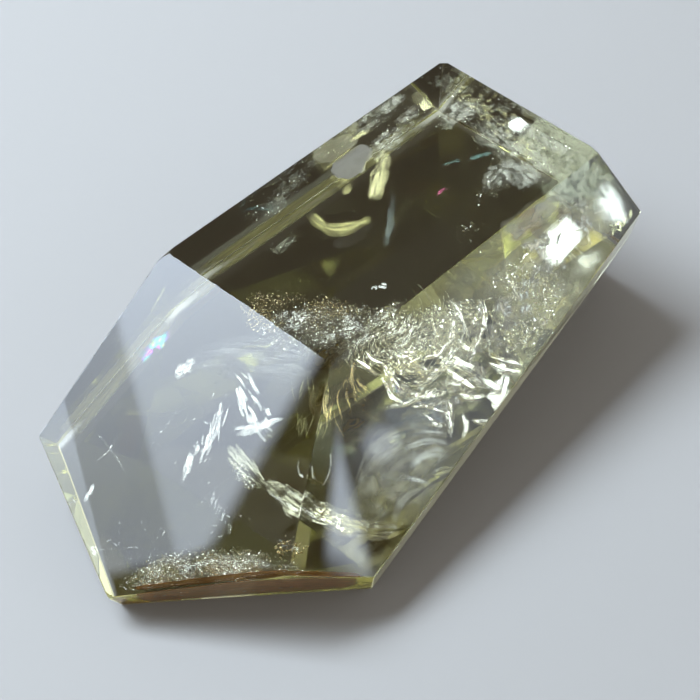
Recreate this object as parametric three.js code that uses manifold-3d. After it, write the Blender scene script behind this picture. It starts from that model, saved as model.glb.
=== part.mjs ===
// Citrine freeform: one clear quartz crystal ground and polished by hand into a long, low, many-sided
// piece. It lies on its flat base. A big table on top breaks into a slope at the blunt end and a steeper
// slope along one side, and walls that lean in or out close the rest.
//
// Units are millimetres, +Z is up. The origin is the middle of the stone's footprint box, on the surface
// that it rests on, and the stone's length runs along X, with the low pointed end at -X.
//
// The stone is made the way it was cut: a rough block, and one grinding cut for each polished face.

import * as THREE from 'three';
import Module from 'manifold-3d';
import { mergeVertices } from 'three/addons/utils/BufferGeometryUtils.js';

// The rough block that the faces are ground on. Its underside is the flat base of the finished stone.
const ROUGH_LENGTH = 130;
const ROUGH_WIDTH = 80;
const ROUGH_HEIGHT = 45;

// Side of the block that stands for one grinding cut. It is larger than the rough in every direction.
const CUT_SIZE = 300;

// Colour of the polished stone, and how smooth the polish is.
const CITRINE_COLOUR = 0xd9d59c;
const POLISH_ROUGHNESS = 0.03;

// Every polished face, as a lapidary notes it. azimuth is the compass direction in degrees that the face
// looks towards, from +X round towards +Y. tilt is its lean in degrees from looking straight up: under 90
// it can be seen from above, over 90 it is undercut. distance is how far the face lies from the origin.
const FACES = {
  table: { azimuth: 223.7, tilt: 4.7, distance: 24.20 },
  longSlope: { azimuth: 180.9, tilt: 28.1, distance: 26.36 },
  sideSlope: { azimuth: 257.0, tilt: 40.6, distance: 24.04 },
  frontWall: { azimuth: 219.2, tilt: 117.9, distance: 29.11 },
  noseWall: { azimuth: 142.6, tilt: 113.6, distance: 34.36 },
  leftWall: { azimuth: 89.6, tilt: 84.2, distance: 23.85 },
  rearLeftWall: { azimuth: 79.7, tilt: 80.2, distance: 23.07 },
  endWall: { azimuth: 353.7, tilt: 80.7, distance: 44.87 },
  endCorner: { azimuth: 340.8, tilt: 73.0, distance: 48.17 },
  girdle: { azimuth: 273.5, tilt: 106.9, distance: 19.60 },
  keel: { azimuth: 277.4, tilt: 128.0, distance: 14.76 },
};

// The edge of the base is rolled off along the tall walls: a wide shallow roll, then a narrow bevel at the
// wall's foot. tilt is as for a face, and setback is how far in from the wall's foot the flat starts.
const ROLLED_BASE_EDGES = [
  { wall: 'leftWall', tilt: 168, setback: 2.4 },
  { wall: 'leftWall', tilt: 132, setback: 0.7 },
  { wall: 'rearLeftWall', tilt: 168, setback: 2.4 },
  { wall: 'rearLeftWall', tilt: 132, setback: 0.7 },
  { wall: 'endWall', tilt: 132, setback: 0.4 },
];

// Corners that have been knocked and rubbed blunt: the faces that meet there, and how much is gone.
const BLUNTED_CORNERS = [
  { faces: ['table', 'rearLeftWall', 'endWall'], depth: 0.45 },
  { faces: ['longSlope', 'frontWall', 'noseWall'], depth: 0.35 },
  { faces: ['table', 'longSlope', 'rearLeftWall'], depth: 0.2 },
];

const wasm = await Module();
wasm.setup();

// Unit vector that a face looks along.
function outward({ azimuth, tilt }) {
  const polar = THREE.MathUtils.degToRad(tilt);
  const compass = THREE.MathUtils.degToRad(azimuth);
  return new THREE.Vector3(
    Math.sin(polar) * Math.cos(compass),
    Math.sin(polar) * Math.sin(compass),
    Math.cos(polar),
  );
}

// The point where three faces meet.
function cornerOf(faces) {
  const normals = faces.map(outward);
  const rows = new THREE.Matrix3().set(
    ...normals[0].toArray(),
    ...normals[1].toArray(),
    ...normals[2].toArray(),
  );
  const distances = new THREE.Vector3(...faces.map((face) => face.distance));
  return distances.applyMatrix3(rows.invert());
}

// A rolled base edge is one more flat along a wall's foot, which is where the wall meets the base.
function rolledFlat({ wall, tilt, setback }) {
  const { azimuth, tilt: lean, distance } = FACES[wall];
  const foot = distance / Math.sin(THREE.MathUtils.degToRad(lean));
  return {
    direction: outward({ azimuth, tilt }),
    distance: (foot - setback) * Math.sin(THREE.MathUtils.degToRad(tilt)),
  };
}

// A blunted corner is one more small flat, square to the mean direction of the faces that meet there.
function bluntFlat({ faces, depth }) {
  const meeting = faces.map((name) => FACES[name]);
  const direction = new THREE.Vector3();
  for (const face of meeting) {
    direction.add(outward(face));
  }
  direction.normalize();
  return { direction, distance: cornerOf(meeting).dot(direction) - depth };
}

// A three.js geometry as a solid that can be cut.
function solidOf(geometry) {
  geometry.deleteAttribute('normal');
  geometry.deleteAttribute('uv');
  const merged = mergeVertices(geometry);
  const vertProperties = new Float32Array(merged.attributes.position.array);
  const triVerts = new Uint32Array(merged.index.array);
  return new wasm.Manifold(new wasm.Mesh({ numProp: 3, vertProperties, triVerts }));
}

// The waste on the far side of a plane: a block that stands on the plane and takes all beyond it.
function wasteBeyond(direction, distance) {
  const block = new THREE.BoxGeometry(CUT_SIZE, CUT_SIZE, CUT_SIZE);
  block.translate(0, 0, CUT_SIZE / 2 + distance);
  const turn = new THREE.Quaternion().setFromUnitVectors(new THREE.Vector3(0, 0, 1), direction);
  block.applyQuaternion(turn);
  return solidOf(block);
}

// The finished solid as a geometry with flat, sharp-edged faces.
function geometryOf(solid) {
  const mesh = solid.getMesh();
  const geometry = new THREE.BufferGeometry();
  geometry.setAttribute('position', new THREE.BufferAttribute(mesh.vertProperties, 3));
  geometry.setIndex(new THREE.BufferAttribute(mesh.triVerts, 1));
  const flat = geometry.toNonIndexed();
  flat.computeVertexNormals();
  return flat;
}

const rough = new THREE.BoxGeometry(ROUGH_LENGTH, ROUGH_WIDTH, ROUGH_HEIGHT);
rough.translate(0, 0, ROUGH_HEIGHT / 2);

let stone = solidOf(rough);
for (const face of Object.values(FACES)) {
  stone = stone.subtract(wasteBeyond(outward(face), face.distance));
}
for (const { direction, distance } of [
  ...ROLLED_BASE_EDGES.map(rolledFlat),
  ...BLUNTED_CORNERS.map(bluntFlat),
]) {
  stone = stone.subtract(wasteBeyond(direction, distance));
}

const polishedCitrine = new THREE.MeshStandardMaterial({
  color: CITRINE_COLOUR,
  roughness: POLISH_ROUGHNESS,
  metalness: 0,
});

const crystal = new THREE.Mesh(geometryOf(stone), polishedCitrine);
crystal.name = 'citrine_crystal';

const group = new THREE.Group();
group.add(crystal);

export default group;
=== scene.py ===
import math
import random

import bmesh
import bpy
import numpy as np
from mathutils import Matrix, Vector, noise


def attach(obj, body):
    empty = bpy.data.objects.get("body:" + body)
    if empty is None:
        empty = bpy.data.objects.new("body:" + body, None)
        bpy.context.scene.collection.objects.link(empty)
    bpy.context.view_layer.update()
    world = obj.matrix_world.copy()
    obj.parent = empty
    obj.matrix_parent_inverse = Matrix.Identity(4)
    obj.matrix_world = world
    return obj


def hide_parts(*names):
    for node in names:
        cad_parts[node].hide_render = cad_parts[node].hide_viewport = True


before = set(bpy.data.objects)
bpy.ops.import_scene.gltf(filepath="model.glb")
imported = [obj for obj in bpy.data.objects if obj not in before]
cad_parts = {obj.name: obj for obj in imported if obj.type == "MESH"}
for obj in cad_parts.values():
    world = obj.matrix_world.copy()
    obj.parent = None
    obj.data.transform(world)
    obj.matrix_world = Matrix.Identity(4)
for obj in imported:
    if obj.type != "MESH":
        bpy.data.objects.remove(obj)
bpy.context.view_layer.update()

MM = 0.001


# ---------------------------------------------------------------- small helpers

def linear(hex_colour):
    """An sRGB hex colour, such as "d9d59c", as linear red, green, blue, alpha."""
    channels = [int(hex_colour[i:i + 2], 16) / 255 for i in (0, 2, 4)]
    return [c / 12.92 if c <= 0.04045 else ((c + 0.055) / 1.055) ** 2.4 for c in channels] + [1.0]


def node(tree, kind, settings=None, links=None):
    """Adds one node. Settings are properties or input values, and links are output sockets. An input is
    given by its name, or by its number where a node has several of the same name."""
    made = tree.nodes.new(kind)
    for name, value in (settings or {}).items():
        if isinstance(name, int) or name in made.inputs:
            made.inputs[name].default_value = value
        else:
            setattr(made, name, value)
    for name, socket in (links or {}).items():
        tree.links.new(socket, made.inputs[name])
    return made


def new_material(name):
    material = bpy.data.materials.new(name)
    material.use_nodes = True
    material.node_tree.nodes.clear()
    return material, material.node_tree


def add_object(name, mesh, material):
    mesh.materials.append(material)
    piece = bpy.data.objects.new(name, mesh)
    bpy.context.scene.collection.objects.link(piece)
    return piece


def keep(piece):
    """A finished piece of the stone: it rides on the stone's body."""
    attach(piece, "root")
    return piece


# ---------------------------------------------------------------- camera

# The stone is seen from above its long slope, with a long lens.
CAMERA_PLACE = Vector((-179.03, -124.77, 233.37)) * MM
CAMERA_TARGET = Vector((9.27, 4.65, 0.0)) * MM
CAMERA_FIELD = math.radians(17.305)
CAMERA_NEAR = 10 * MM


def make_camera():
    data = bpy.data.cameras.new("view")
    data.sensor_fit = "HORIZONTAL"
    data.angle = CAMERA_FIELD
    data.clip_start = CAMERA_NEAR
    camera = bpy.data.objects.new("view", data)
    bpy.context.scene.collection.objects.link(camera)
    camera.location = CAMERA_PLACE
    camera.rotation_euler = (CAMERA_TARGET - CAMERA_PLACE).to_track_quat("-Z", "Y").to_euler()
    bpy.context.scene.camera = camera


# ---------------------------------------------------------------- the stone

POLISHED_EDGE = 0.12 * MM  # how far the polishing wheel has rounded each edge
EDGE_STEPS = 3
EDGE_ROUNDNESS = 0.6
SAME_CORNER = 0.002 * MM  # closer than this, two corners are one
FLAT_ANGLE = math.radians(0.4)  # two faces that meet flatter than this are one facet
QUARTZ_IOR = 1.55
TINT = "ecea59"
TINT_STRENGTH = 12.0  # per metre


def citrine_material():
    """Polished citrine: clear quartz, with the pale yellow-green of iron. The tint lies in the depth of
    the stone, so thick parts look olive and thin corners are nearly colourless."""
    material, tree = new_material("polished_citrine")
    surface = node(tree, "ShaderNodeBsdfPrincipled", {
        "Base Color": linear("ffffff"), "Roughness": 0.0, "IOR": QUARTZ_IOR, "Transmission Weight": 1.0,
    })
    depth = node(tree, "ShaderNodeVolumeAbsorption", {"Color": linear(TINT), "Density": TINT_STRENGTH})
    node(tree, "ShaderNodeOutputMaterial",
         links={"Surface": surface.outputs[0], "Volume": depth.outputs[0]})
    return material


def make_stone():
    """The cut stone with every edge very slightly rounded. Its faces stay dead flat and crisp."""
    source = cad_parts["citrine_crystal"]
    work = bmesh.new()
    work.from_mesh(source.data)
    work.transform(source.matrix_world)
    bmesh.ops.remove_doubles(work, verts=work.verts, dist=SAME_CORNER)
    bmesh.ops.dissolve_limit(work, angle_limit=FLAT_ANGLE, verts=work.verts, edges=work.edges)
    bmesh.ops.bevel(work, geom=list(work.edges), offset=POLISHED_EDGE, segments=EDGE_STEPS,
                    profile=EDGE_ROUNDNESS, affect="EDGES", clamp_overlap=True)
    bmesh.ops.recalc_face_normals(work, faces=work.faces)
    work.verts.index_update()
    points = [tuple(vertex.co) for vertex in work.verts]
    faces = [[vertex.index for vertex in face.verts] for face in work.faces]
    work.free()
    mesh = bpy.data.meshes.new("polished_stone")
    mesh.from_pydata(points, [], faces)
    stone = keep(add_object("polished_stone", mesh, citrine_material()))
    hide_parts("citrine_crystal")


# ---------------------------------------------------------------- films sealed in the stone

# Fractures, healed veils, grains and bubbles. All are thin gaps or films inside the quartz, and show by
# the light that they throw back. Places are in millimetres in the stone's own frame.

WHITE = "f6f5ea"

# Gaps too small to see into: the material's name, its colour, its roughness, and how much light it
# throws back.
GRAINS = {
    # Fresh cracks: hard white sparkles.
    "grain": ("crack_grains", WHITE, 0.10, 0.95),
    # Cracks with a breath of iron in them: golden sparkles.
    "gold": ("golden_grains", "d0c096", 0.20, 0.8),
    # Polishing chalk in tiny pits: matt cream dots.
    "chalk": ("chalky_flecks", "e8e2d4", 0.8, 0.7),
}

# Breaks: the material's name, its colour, its roughness, how much light it throws back on a rib and
# between two, and a rib's length and width and its height, in millimetres. On real breaks the ribs are
# a few hundredths of a millimetre apart. They are drawn a few tenths wide, the finest that still show.
BREAKS = {
    # Quartz crushed along the ridge: a frosty shimmer behind the grains.
    "crushed": ("crushed_break", WHITE, 0.15, 0.24, 0.0, (1.0, 0.22), 0.10),
    # Quartz crushed along the front edge: a finer frost, like wet sand.
    "crushed_slope": ("sandy_break", WHITE, 0.25, 0.28, 0.0, (0.5, 0.15), 0.05),
    # Hair-thin cracks: short bright scratches.
    "hair": ("hair_break", WHITE, 0.08, 0.70, 0.25, (1.0, 0.10), 0.01),
    # Splintery breaks: warm white strokes with fine lines along them.
    "ribbed": ("ribbed_break", "faf6e6", 0.08, 0.80, 0.0, (3.0, 0.22), 0.03),
    # Shell-shaped breaks: light and dark bands round one point, as inside a seashell.
    "shell": ("shell_break", WHITE, 0.08, 0.72, 0.04, (2.5, 0.6), 0.03),
    # Wide open breaks: flat white flashes.
    "flash": ("open_break", WHITE, 0.08, 0.50, 0.30, (2.5, 1.0), 0.01),
    # Breaks that have nearly healed: a soft cream glow in patches.
    "cloud": ("healed_break", "f2f0d2", 0.32, 0.62, 0.20, (4.0, 2.5), 0.05),
    # Broad healed bands: soft curved brush strokes.
    "arc": ("healed_arcs", "f8f7e4", 0.26, 0.95, 0.05, (5.0, 0.8), 0.04),
    # Growth lines that opened again: thin clear arcs over the soft ones.
    "ring": ("growth_arc_break", "f8f7e4", 0.12, 0.90, 0.10, (10.0, 0.5), 0.01),
    # Crowds of tiny bubbles: a grey-white mist.
    "mist": ("misty_break", "f0efdf", 0.35, 0.22, 0.02, (1.3, 0.6), 0.06),
    # Scaly healed cracks: pale green flakes, barely there.
    "scale": ("pale_green_scales", "e8ecc8", 0.40, 0.09, 0.02, (1.4, 0.8), 0.05),
    # Silky breaks that face the light: soft-edged bright spots.
    "glow": ("soft_spot", WHITE, 0.20, 0.60, 0.40, (3.0, 2.0), 0.01),
    # Thin films of air: a faint smoke-grey patch.
    "cool": ("thin_grey_break", "c4cbd0", 0.20, 0.60, 0.3, (2.5, 1.0), 0.02),
    # A flat frosted break: an even grey patch.
    "grey": ("grey_break", "f4f2fa", 0.30, 0.95, 0.85, (4.0, 1.6), 0.01),
    # Open tongues with clear rims: straw-coloured, with lines along them.
    "tongue": ("pale_tongue_break", "f0e8b4", 0.25, 0.15, 0.07, (3.0, 0.5), 0.02),
    # The same, straight over the dark: a brighter straw.
    "straw": ("straw_break", "f0ecc0", 0.25, 0.40, 0.14, (3.0, 0.5), 0.02),
    # A very thin gap: a faint blue-grey streak.
    "streak": ("blue_grey_break", "c3d2d6", 0.30, 0.06, 0.02, (4.0, 0.6), 0.01),
    # Thin healed tongues: pale yellow, with lines along them.
    "pale": ("pale_yellow_break", "e2d99a", 0.25, 0.12, 0.04, (3.0, 0.5), 0.02),
    # Iron in hair cracks: amber lines.
    "amber": ("amber_break", "bca878", 0.15, 0.12, 0.0, (3.0, 0.25), 0.02),
    # Painted shade: dull honey-brown patches, standing in for the dark brown that refraction shows behind
    # the side slope.
    "brown_shade": ("painted_brown_shade", "7a6a3c", 0.50, 0.80, 0.30, (2.5, 1.2), 0.04),
    # Dust-fine bubbles: a milkiness that only lifts the dark a little.
    "milk": ("milky_break", WHITE, 0.50, 0.08, 0.01, (4.0, 0.5), 0.03),
    # Painted light: a red-brown band against the front wall, standing in for the brown-orange of light on
    # its long path through the stone and the floor mirrored there at a grazing angle.
    "front_wall_light": ("painted_front_wall_light", "d6a468", 0.55, 0.95, 0.60, (3.0, 0.8), 0.04),
    # Torn healed films: thin green-grey wisps.
    "wisp": ("wispy_veil", "e0e2c8", 0.35, 0.08, 0.0, (1.2, 0.35), 0.05),
    # Gaps about a wavelength wide: one pure colour each.
    "cyan": ("cyan_film", "a4d6d0", 0.25, 0.07, 0.02, (1.5, 0.4), 0.02),
    "pink": ("pink_film", "e8709a", 0.25, 0.09, 0.02, (0.8, 0.4), 0.02),
    # Fresh little breaks under the long slope: crisp white flakes with lines along them.
    "slope_break": ("fresh_break", WHITE, 0.08, 0.12, 0.02, (1.4, 0.22), 0.03),
    # The same in specks, with less contrast between their lines.
    "speck": ("fresh_speck", WHITE, 0.08, 0.12, 0.04, (1.4, 0.22), 0.02),
    # Feathers: barbs of light along a curved quill.
    "feather": ("feather_break", "f0ecc8", 0.14, 0.12, 0.0, (4.0, 0.35), 0.015),
    # Feathers behind the side slope, which catch the weaker light.
    "leaf": ("leafy_break", "f4f0cc", 0.20, 0.80, 0.04, (4.0, 0.4), 0.02),
    # Painted light: a matt cream line on the rolled base edge, standing in for the floor light seen through
    # it.
    "base_edge_light": ("painted_base_edge_light", "e0dcbe", 0.8, 1.0, 0.6, (9.0, 0.6), 0.03),
}

# Noise between the first value and the second goes from the gap between two ribs to the top of one.
RIB_EDGE = (0.36, 0.62)

# Thin-film colours, in the order that they come as a gap narrows, and how much light they throw back.
RAINBOW = [
    (0.30, "f2f0e0"),
    (0.40, "ff5ea8"),
    (0.47, "c060ff"),
    (0.53, "40b8ff"),
    (0.60, "60ffd0"),
    (0.68, "ffe080"),
]
RAINBOW_COVER = 0.09
RAINBOW_BANDS = 0.6 / MM  # bands about 1 mm wide


def grain_material(name, colour, roughness, cover):
    """A tiny open crack or a fluid bubble. Too small for its two sides to be told apart, it throws back
    most of the light like a chip of silver."""
    material, tree = new_material(name)
    surface = node(tree, "ShaderNodeBsdfPrincipled", {
        "Base Color": linear(colour), "Metallic": 1.0, "Roughness": roughness, "Alpha": cover,
    })
    node(tree, "ShaderNodeOutputMaterial", links={"Surface": surface.outputs[0]})
    return material


def break_material(name, colour, roughness, cover, bare, rib, relief):
    """A fracture in quartz: a film of air so thin that it throws back only part of the light. Fine ribs
    run along it, where it opens and closes, and it heals away to nothing towards its rim."""
    material, tree = new_material(name)
    place = node(tree, "ShaderNodeUVMap", {"uv_map": "along_across"}).outputs[0]
    stretch = node(tree, "ShaderNodeMapping", {"Scale": (1 / rib[0], 1 / rib[1], 1)}, {"Vector": place})
    ribs = node(tree, "ShaderNodeTexNoise", {"Scale": 1.0, "Detail": 4.0, "Distortion": 0.8},
                {"Vector": stretch.outputs[0]}).outputs["Fac"]
    opened = node(tree, "ShaderNodeMapRange", {
        "interpolation_type": "SMOOTHSTEP", "From Min": RIB_EDGE[0], "From Max": RIB_EDGE[1],
        "To Min": bare, "To Max": cover,
    }, {"Value": ribs})
    healed = node(tree, "ShaderNodeAttribute", {"attribute_name": "openness"}).outputs["Fac"]
    shown = node(tree, "ShaderNodeMath", {"operation": "MULTIPLY"},
                 {0: opened.outputs["Result"], 1: healed})
    bump = node(tree, "ShaderNodeBump", {"Distance": relief * MM}, {"Height": ribs})
    surface = node(tree, "ShaderNodeBsdfPrincipled",
                   {"Base Color": linear(colour), "Metallic": 1.0, "Roughness": roughness},
                   {"Alpha": shown.outputs[0], "Normal": bump.outputs[0]})
    node(tree, "ShaderNodeOutputMaterial", links={"Surface": surface.outputs[0]})
    return material


def rainbow_material():
    """Interference colours where a fracture narrows to less than a thousandth of a millimetre: bands of
    pure pink, blue and green."""
    material, tree = new_material("rainbow_film")
    place = node(tree, "ShaderNodeTexCoord").outputs["Object"]
    bands = node(tree, "ShaderNodeTexNoise", {"Scale": RAINBOW_BANDS, "Detail": 1.0}, {"Vector": place})
    ramp = node(tree, "ShaderNodeValToRGB", links={"Fac": bands.outputs["Fac"]})
    ramp.color_ramp.elements.remove(ramp.color_ramp.elements[1])
    for i, (position, colour) in enumerate(RAINBOW):
        stop = ramp.color_ramp.elements[0] if i == 0 else ramp.color_ramp.elements.new(position)
        stop.position = position
        stop.color = linear(colour)
    healed = node(tree, "ShaderNodeAttribute", {"attribute_name": "openness"}).outputs["Fac"]
    shown = node(tree, "ShaderNodeMath", {"operation": "MULTIPLY", 1: RAINBOW_COVER}, {0: healed})
    surface = node(tree, "ShaderNodeBsdfPrincipled", {"Metallic": 1.0, "Roughness": 0.15},
                   {"Base Color": ramp.outputs["Color"], "Alpha": shown.outputs[0]})
    node(tree, "ShaderNodeOutputMaterial", links={"Surface": surface.outputs[0]})
    return material


FILMS = {"rainbow": rainbow_material()}
FILMS.update((key, grain_material(*look)) for key, look in GRAINS.items())
FILMS.update((key, break_material(*look)) for key, look in BREAKS.items())


# ---------------------------------------------------------------- the shapes of fractures

SKIN = 0.15  # the least depth of a fracture under a face
SETTLING = 4  # rounds in which a point is moved off every wall
SEED_STEP = 7.31  # how far apart the noises of two seeds are
FINE_BUMPS = 2.3  # how much finer the second noise of a wobble is
FINE_PART = 0.5  # and how strong
WOBBLE_REACH = 1.3
BLUNT_END = 0.02  # half the width that a fracture keeps at its ends
TEETH = 5  # bumps along a ragged rim
SMALLEST_TOOTH = 0.25
SMALLEST_CRUMPLE = 0.5
UNSTEADY_WAVES = 2.5  # shell ripples swell and fade over this many waves,
RIPPLE_SWELL = 0.6  # round this part of their height,
RIPPLE_DRIFT = 0.8  # and stray by this part of a wave
RIGHT_RIM = 5  # a fracture's noises, counted from its seed
RIPPLES = 3
CRUMPLES = 9
RIBS_ALONG = 3.7  # millimetres between the ribs of two seeds
RIBS_ACROSS = 1.3
SPLINTER_LENGTHS = (0.3, 1.0)  # as parts of the longest and the widest
SPLINTER_WIDTHS = (0.4, 1.0)
STROKE_LENGTHS = (0.35, 1.0)
STROKE_WIDTHS = (0.35, 1.0)
STROKE_BENDS = (0.3, 1.0)
STROKE_LIFT = 1.0  # how far the strokes of a fan lie off its plane, in millimetres
STROKE_TURN = 7  # and how far they look other ways, in degrees
STROKE_TILT = 4


def direction(azimuth, tilt):
    """Unit vector that looks to this compass azimuth, leaning this far from straight up, in degrees."""
    compass = math.radians(azimuth)
    lean = math.radians(tilt)
    outward = math.sin(lean)
    return np.array([outward * math.cos(compass), outward * math.sin(compass), math.cos(lean)])


def stone_walls():
    """The polished faces as outward unit vectors and their distances from the origin, in millimetres."""
    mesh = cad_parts["citrine_crystal"].data
    normals = np.array([face.normal for face in mesh.polygons])
    middles = np.array([face.center for face in mesh.polygons]) / MM
    return normals, np.einsum("ij,ij->i", normals, middles)


WALL_NORMALS, WALL_DISTANCES = stone_walls()


def kept_inside(points, skin=SKIN):
    """The points, with any that would break out of the stone laid flat just under the face instead."""
    points = np.array(points, float)
    for _ in range(SETTLING):
        for normal, distance in zip(WALL_NORMALS, WALL_DISTANCES):
            excess = np.maximum(points @ normal - (distance - skin), 0.0)
            points -= excess[..., None] * normal
    return points


def smooth_line(points, count):
    """Evenly counted points on a smooth curve that passes through all the given points."""
    knots = np.array(points, float)
    padded = np.vstack([2 * knots[0] - knots[1], knots, 2 * knots[-1] - knots[-2]])
    places = np.linspace(0, len(knots) - 1, count)
    first = np.minimum(places.astype(int), len(knots) - 2)
    t = (places - first)[:, None]
    a, b, c, d = (padded[first + i] for i in range(4))
    bend = 2 * a - 5 * b + 4 * c - d
    twist = 3 * b - a - 3 * c + d
    return (2 * b + (c - a) * t + bend * t ** 2 + twist * t ** 3) / 2


def unit(vectors):
    return vectors / np.linalg.norm(vectors, axis=-1, keepdims=True)


def eased(t):
    return t * t * (3 - 2 * t)


def wobble(points, size, seed):
    """Noise between about -1 and 1 at each point, with bumps about this many millimetres across."""
    flat = points.reshape(-1, 3) / size + seed * SEED_STEP
    values = [noise.noise(Vector(p)) + FINE_PART * noise.noise(Vector(p * FINE_BUMPS)) for p in flat]
    return np.array(values).reshape(points.shape[:-1]) * WOBBLE_REACH


def quads(index):
    corners = index[:-1, :-1], index[1:, :-1], index[1:, 1:], index[:-1, 1:]
    return np.stack(corners, axis=-1).reshape(-1, 4)


def both_sides(grid):
    """Values on a sheet's grid in the order of its lens: the upper side, then the lower without its rim."""
    size = grid.shape[2:]
    return np.concatenate([grid.reshape(-1, *size), grid[1:-1, 1:-1].reshape(-1, *size)])


def sheet(spine, facing, width, taper=0.5, bulge=0.0, ripple=0.0, wave=2.0, crumple=0.0, ragged=0.35,
          soft=0.6, gap=0.03, along=24, across=8, seed=0, skin=SKIN):
    """A thin fracture that follows a spine of points and looks towards facing, an azimuth and a tilt. It
    is a thin closed lens. Shell ripples run round the spine's first point, and soft is the part of its
    half width that heals away. All sizes are millimetres."""
    middle = smooth_line(spine, along + 1)
    tangent = unit(np.gradient(middle, axis=0))
    sideways = unit(np.cross(direction(*facing), tangent))
    normal = np.cross(tangent, sideways)
    u = np.linspace(0, 1, along + 1)
    v = np.linspace(-1, 1, across + 1)
    length = np.linalg.norm(np.diff(middle, axis=0), axis=1).sum()
    shape = width / 2 * np.maximum(np.sin(np.pi * u), 0.0) ** taper + BLUNT_END
    tooth = max(length / TEETH, SMALLEST_TOOTH)
    left = shape * (1 + ragged * wobble(middle, tooth, seed))
    right = shape * (1 + ragged * wobble(middle, tooth, seed + RIGHT_RIM))
    reach = np.where(v[None, :] < 0, left[:, None], right[:, None]) * v[None, :]
    surface = middle[:, None] + sideways[:, None] * reach[..., None]
    relief = bulge * (1 - v[None, :] ** 2)
    if ripple:
        away = np.linalg.norm(surface - middle[0], axis=-1)
        unsteady = wobble(surface, wave * UNSTEADY_WAVES, seed + RIPPLES)
        turns = 2 * np.pi * (away / wave + RIPPLE_DRIFT * unsteady)
        relief = relief + ripple * (RIPPLE_SWELL + unsteady) * np.sin(turns)
    if crumple:
        relief = relief + crumple * wobble(surface, max(width / 2, SMALLEST_CRUMPLE), seed + CRUMPLES)
    normals = np.broadcast_to(normal[:, None], surface.shape)
    surface = kept_inside(surface + normals * relief[..., None], skin)

    swell = np.sin(np.pi * u)[:, None] * np.cos(np.pi / 2 * v)[None, :]
    half = normals * gap / 2 * np.sqrt(np.abs(swell))[..., None]
    points = np.vstack([(surface + half).reshape(-1, 3), (surface - half)[1:-1, 1:-1].reshape(-1, 3)])
    rows, columns = along + 1, across + 1
    upper = np.arange(rows * columns).reshape(rows, columns)
    inner = np.arange((rows - 2) * (columns - 2)).reshape(rows - 2, columns - 2)
    lower = upper.copy()
    lower[1:-1, 1:-1] = rows * columns + inner
    faces = np.vstack([quads(upper), quads(lower)[:, ::-1]])

    openness = np.ones(surface.shape[:2])
    if soft:
        ends = np.clip(2 * np.minimum(u, 1 - u) / soft, 0, 1)
        sides = np.clip((1 - np.abs(v)) / soft, 0, 1)
        openness = eased(ends)[:, None] * eased(sides)[None, :]
    lengthwise = u[:, None] * length + seed * RIBS_ALONG
    ribs = np.stack(np.broadcast_arrays(lengthwise, reach + seed * RIBS_ACROSS), axis=-1)
    return points, faces, both_sides(openness), both_sides(ribs)


def sheets(facing, rows, **shape):
    """Fractures that look the same way and are alike. Each row is a width, a seed and a spine's points."""
    return [sheet(spine, facing, width, seed=seed, **shape) for width, seed, *spine in rows]


def splinters(count, start, end, facing, spread, length, width, loose, seed, lying=(0, 360), bow=0.2,
              **shape):
    """Short fractures strewn about a line from start to end, all looking within a few loose degrees of
    facing. They lie square to the azimuths in lying, and bow is how far each bends, as a part of its
    length."""
    chance = random.Random(seed)
    start = np.array(start, float)
    end = np.array(end, float)
    made = []
    for i in range(count):
        place = start + (end - start) * chance.random()
        middle = place + spread * np.array([chance.uniform(-1, 1) for _ in range(3)])
        looks = facing[0] + chance.uniform(-loose, loose), facing[1] + chance.uniform(-loose, loose) / 2
        normal = direction(*looks)
        heading = unit(np.cross(normal, direction(chance.uniform(*lying), 90)))
        reach = heading * length * chance.uniform(*SPLINTER_LENGTHS) / 2
        bend = unit(np.cross(normal, heading)) * length * chance.uniform(-bow, bow)
        spine = [middle - reach, middle + bend, middle + reach]
        made.append(sheet(spine, looks, width * chance.uniform(*SPLINTER_WIDTHS), seed=seed + i, **shape))
    return made


def fan(count, focus, facing, turns, reaches, length, width, bend, seed, **shape):
    """Strokes that fan out from a focus in the plane that looks towards facing. Turns are degrees from
    straight down the side slope, with the far end of the stone positive, and reaches are millimetres.
    Bend is how far each stroke swings as it goes, in radians."""
    chance = random.Random(seed)
    normal = direction(*facing)
    run = unit(np.cross(normal, (0.0, -1.0, 0.0)))
    run = run if run[0] > 0 else -run
    fall = unit(np.cross(normal, run))
    fall = fall if fall[1] < 0 else -fall
    made = []
    for i in range(count):
        turn = math.radians(chance.uniform(*turns))
        reach = chance.uniform(*reaches)
        long = length * chance.uniform(*STROKE_LENGTHS)
        swing = bend * chance.uniform(*STROKE_BENDS)
        lift = normal * chance.uniform(-STROKE_LIFT, STROKE_LIFT)
        spine = []
        for step in (-0.5, 0.0, 0.5):
            angle = turn + swing * step
            outward = math.cos(angle) * fall + math.sin(angle) * run
            spine.append(focus + lift + (reach + long * step) * outward)
        azimuth = facing[0] + chance.uniform(-STROKE_TURN, STROKE_TURN)
        tilt = facing[1] + chance.uniform(-STROKE_TILT, STROKE_TILT)
        stroke = width * chance.uniform(*STROKE_WIDTHS)
        made.append(sheet(spine, (azimuth, tilt), stroke, seed=seed + i, **shape))
    return made


def join_sheets(name, film, made):
    """All the fractures of one kind as one piece of the stone."""
    starts = np.cumsum([0] + [len(points) for points, _, _, _ in made])
    faces = np.vstack([corners + start for (_, corners, _, _), start in zip(made, starts)])
    mesh = bpy.data.meshes.new(name)
    mesh.from_pydata(np.vstack([points for points, _, _, _ in made]) * MM, [], faces.tolist())
    mesh.shade_smooth()
    openness = mesh.attributes.new("openness", "FLOAT", "POINT")
    openness.data.foreach_set("value", np.concatenate([values for _, _, values, _ in made]))
    ribs = np.vstack([places for _, _, _, places in made])
    corners = np.empty(len(mesh.loops), int)
    mesh.loops.foreach_get("vertex_index", corners)
    mesh.uv_layers.new(name="along_across").data.foreach_set("uv", ribs[corners].ravel())
    keep(add_object(name, mesh, FILMS[film]))


# ---------------------------------------------------------------- grains

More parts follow.
